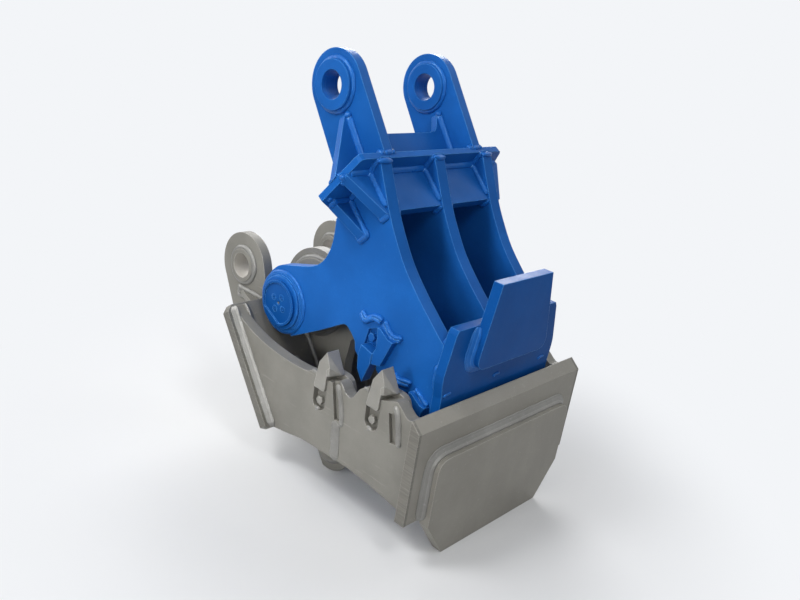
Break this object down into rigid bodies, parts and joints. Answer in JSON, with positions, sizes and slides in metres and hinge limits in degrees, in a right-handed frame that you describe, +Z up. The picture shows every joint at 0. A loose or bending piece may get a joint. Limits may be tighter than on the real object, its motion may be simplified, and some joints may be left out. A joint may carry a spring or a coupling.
{
  "type": "mechanical concrete crusher",
  "caption": "Mechanical concrete crusher for an excavator: grey ring-shaped lower jaw with bolted teeth, and a blue upper jaw that swings in it about a hinge pin.",
  "frame": {"origin": "on the axis of the stick pin bore, at mid width", "axes": "+X towards the front plates, +Y across the jaws along the stick pin, +Z up towards the bucket link ears"},
  "size_m": [1.076, 0.736, 1.227],
  "materials": {
    "grey_paint": "warm grey satin paint over welded plate",
    "blue_paint": "satin blue paint over welded plate",
    "tooth_steel": "light grey paint on cast tooth steel",
    "bush_bronze": "machined bronze",
    "pin_steel": "ground steel",
    "plated_steel": "plated steel"
  },
  "bodies": {
    "lower_jaw": {"rear_plate": "grey_paint", "side_wall_left": "grey_paint", "side_wall_right": "grey_paint", "front_plate": "grey_paint", "lower_wear_pad": "grey_paint", "stick_ear_left": "grey_paint", "stick_ear_right": "grey_paint", "stick_bosses": "grey_paint", "ear_gussets": "grey_paint", "hinge_lug_left": "grey_paint", "hinge_lug_right": "grey_paint", "hinge_hub": "grey_paint", "hinge_bushes": "bush_bronze", "thrust_washers": "bush_bronze", "arm_lug_left": "grey_paint", "arm_lug_right": "grey_paint", "arm_bosses": "grey_paint", "tooth_blocks": "grey_paint", "lower_teeth": "tooth_steel", "lower_tooth_bolts": "tooth_steel"},
    "upper_jaw": {"side_plate_left": "blue_paint", "side_plate_right": "blue_paint", "middle_plate": "blue_paint", "cross_plate": "blue_paint", "link_ear_left": "blue_paint", "link_ear_right": "blue_paint", "link_bosses": "blue_paint", "back_plate": "blue_paint", "back_wings": "blue_paint", "corner_bars": "blue_paint", "bay_braces": "blue_paint", "wing_braces_front": "blue_paint", "wing_braces_rear": "blue_paint", "upper_front_plate": "blue_paint", "upper_wear_pad": "blue_paint", "rear_cover": "blue_paint", "under_plate": "blue_paint", "closing_stops": "blue_paint", "inner_bosses": "blue_paint", "outer_rings": "blue_paint", "hinge_pin": "pin_steel", "pin_caps": "blue_paint", "cap_bolts": "blue_paint", "grease_fittings": "plated_steel", "upper_teeth": "blue_paint", "upper_tooth_bolts": "blue_paint"}
  },
  "joints": [
    {"name": "jaw_hinge", "type": "hinge", "parent": "lower_jaw", "child": "upper_jaw", "pos_m": [0.241, 0, -0.034], "axis": [0, -1, 0], "range_deg": [0, 70]}
  ]
}
